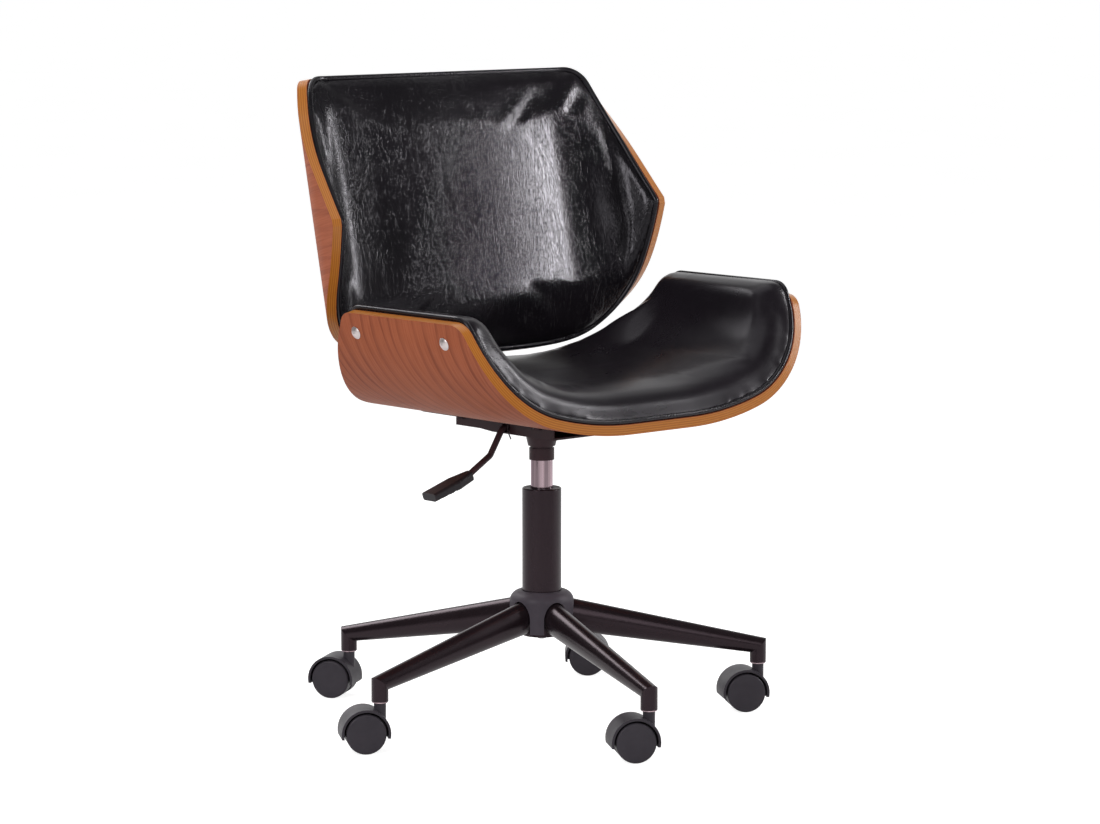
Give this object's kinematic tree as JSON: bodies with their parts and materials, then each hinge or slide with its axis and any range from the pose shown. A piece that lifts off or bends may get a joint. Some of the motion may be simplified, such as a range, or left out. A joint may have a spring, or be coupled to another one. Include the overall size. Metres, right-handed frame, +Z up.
{
  "type": "desk chair",
  "caption": "Swivel desk chair with bent-ply seat and back, padded covers, raised seat wings, a gas lift with a hand lever and a legged base on twin-wheel casters.",
  "frame": {"origin": "on the floor under the lift's axis, midway between the legs' caster stems", "axes": "+Z up, the front of the seat faces -Y, +X towards the sitter's left"},
  "size_m": [0.6213, 0.6144, 0.8225],
  "materials": {
    "base_metal": "satin powder coat",
    "cover_plastic": "fine matt texture",
    "caster_plastic": "matt moulded",
    "steel": "plain zinc",
    "chrome": "polished",
    "mechanism_paint": "satin",
    "walnut": "lacquered veneer, satin",
    "board": "raw ply",
    "padding": "glossy, finely creased"
  },
  "bodies": {
    "base": {"base_hub": "base_metal", "hub_cover": "cover_plastic", "leg_1": "base_metal", "leg_2": "base_metal", "leg_3": "base_metal", "leg_4": "base_metal", "leg_5": "base_metal", "caster_sleeves": "chrome", "lift_tube": "base_metal", "guide_bush": "cover_plastic", "thrust_bearing": "steel"},
    "spindle": {"upper_race": "steel", "piston_rod": "steel", "rod_clip": "steel", "piston": "steel"},
    "seat": {"gas_cylinder": "chrome", "column_socket": "mechanism_paint", "mechanism_pan": "mechanism_paint", "mechanism_bolts": "steel", "lever_bracket": "mechanism_paint", "lever_pin": "steel", "seat_shell": "walnut", "seat_board": "board", "seat_pad": "padding", "wing_screws": "chrome", "back_bar": "mechanism_paint", "back_bolts": "steel", "back_shell": "walnut", "back_board": "board", "back_pad": "padding"},
    "lever": {"lever_rod": "mechanism_paint", "lever_clip": "steel", "lever_grip": "cover_plastic"},
    "valve": {"valve_pin": "steel"},
    "caster_1": {"caster_hood_1": "caster_plastic", "caster_stem_1": "steel", "caster_axle_1": "steel"},
    "wheel_1_left": {"wheel_1_left": "caster_plastic"},
    "wheel_1_right": {"wheel_1_right": "caster_plastic"},
    "caster_2": {"caster_hood_2": "caster_plastic", "caster_stem_2": "steel", "caster_axle_2": "steel"},
    "wheel_2_left": {"wheel_2_left": "caster_plastic"},
    "wheel_2_right": {"wheel_2_right": "caster_plastic"},
    "caster_3": {"caster_hood_3": "caster_plastic", "caster_stem_3": "steel", "caster_axle_3": "steel"},
    "wheel_3_left": {"wheel_3_left": "caster_plastic"},
    "wheel_3_right": {"wheel_3_right": "caster_plastic"},
    "caster_4": {"caster_hood_4": "caster_plastic", "caster_stem_4": "steel", "caster_axle_4": "steel"},
    "wheel_4_left": {"wheel_4_left": "caster_plastic"},
    "wheel_4_right": {"wheel_4_right": "caster_plastic"},
    "caster_5": {"caster_hood_5": "caster_plastic", "caster_stem_5": "steel", "caster_axle_5": "steel"},
    "wheel_5_left": {"wheel_5_left": "caster_plastic"},
    "wheel_5_right": {"wheel_5_right": "caster_plastic"}
  },
  "joints": [
    {"name": "seat_swivel", "type": "hinge", "parent": "base", "child": "spindle", "pos_m": [0, 0, 0.1], "axis": [0, 0, 1], "continuous": true},
    {"name": "seat_lift", "type": "slide", "parent": "spindle", "child": "seat", "axis": [0, 0, 1], "range_m": [-0.02, 0.075]},
    {"name": "lever_swing", "type": "hinge", "parent": "seat", "child": "lever", "pos_m": [-0.04, 0, 0.3795], "axis": [0, 1, 0], "range_deg": [0, 4], "stiffness_Nm_per_rad": 3},
    {"name": "valve_press", "type": "slide", "parent": "seat", "child": "valve", "axis": [0, 0, -1], "range_m": [0, 0.0032]},
    {"name": "caster_swivel_1", "type": "hinge", "parent": "base", "child": "caster_1", "pos_m": [0.21805, 0.18039, 0.06], "axis": [0, 0, 1], "continuous": true},
    {"name": "wheel_turn_1_left", "type": "hinge", "parent": "caster_1", "child": "wheel_1_left", "pos_m": [0.23266, 0.16747, 0.025], "axis": [0.6626, 0.749, 0], "continuous": true},
    {"name": "wheel_turn_1_right", "type": "hinge", "parent": "caster_1", "child": "wheel_1_right", "pos_m": [0.23266, 0.16747, 0.025], "axis": [0.6626, 0.749, 0], "continuous": true},
    {"name": "caster_swivel_2", "type": "hinge", "parent": "base", "child": "caster_2", "pos_m": [-0.10418, 0.26313, 0.06], "axis": [0, 0, 1], "continuous": true},
    {"name": "wheel_turn_2_left", "type": "hinge", "parent": "caster_2", "child": "wheel_2_left", "pos_m": [-0.11466, 0.27957, 0.025], "axis": [-0.8434, -0.5373, 0], "continuous": true},
    {"name": "wheel_turn_2_right", "type": "hinge", "parent": "caster_2", "child": "wheel_2_right", "pos_m": [-0.11466, 0.27957, 0.025], "axis": [-0.8434, -0.5373, 0], "continuous": true},
    {"name": "caster_swivel_3", "type": "hinge", "parent": "base", "child": "caster_3", "pos_m": [-0.28244, -0.01777, 0.06], "axis": [0, 0, 1], "continuous": true},
    {"name": "wheel_turn_3_left", "type": "hinge", "parent": "caster_3", "child": "wheel_3_left", "pos_m": [-0.29907, -0.00758, 0.025], "axis": [-0.5225, -0.8526, 0], "continuous": true},
    {"name": "wheel_turn_3_right", "type": "hinge", "parent": "caster_3", "child": "wheel_3_right", "pos_m": [-0.29907, -0.00758, 0.025], "axis": [-0.5225, -0.8526, 0], "continuous": true},
    {"name": "caster_swivel_4", "type": "hinge", "parent": "base", "child": "caster_4", "pos_m": [-0.07038, -0.27411, 0.06], "axis": [0, 0, 1], "continuous": true},
    {"name": "wheel_turn_4_left", "type": "hinge", "parent": "caster_4", "child": "wheel_4_left", "pos_m": [-0.08701, -0.26392, 0.025], "axis": [-0.5225, -0.8526, 0], "continuous": true},
    {"name": "wheel_turn_4_right", "type": "hinge", "parent": "caster_4", "child": "wheel_4_right", "pos_m": [-0.08701, -0.26392, 0.025], "axis": [-0.5225, -0.8526, 0], "continuous": true},
    {"name": "caster_swivel_5", "type": "hinge", "parent": "base", "child": "caster_5", "pos_m": [0.23894, -0.15164, 0.06], "axis": [0, 0, 1], "continuous": true},
    {"name": "wheel_turn_5_left", "type": "hinge", "parent": "caster_5", "child": "wheel_5_left", "pos_m": [0.22232, -0.14145, 0.025], "axis": [-0.5225, -0.8526, 0], "continuous": true},
    {"name": "wheel_turn_5_right", "type": "hinge", "parent": "caster_5", "child": "wheel_5_right", "pos_m": [0.22232, -0.14145, 0.025], "axis": [-0.5225, -0.8526, 0], "continuous": true}
  ],
  "couplings": [
    {"joint": "valve_press", "follows": "lever_swing", "m_per_rad": 0.044}
  ]
}
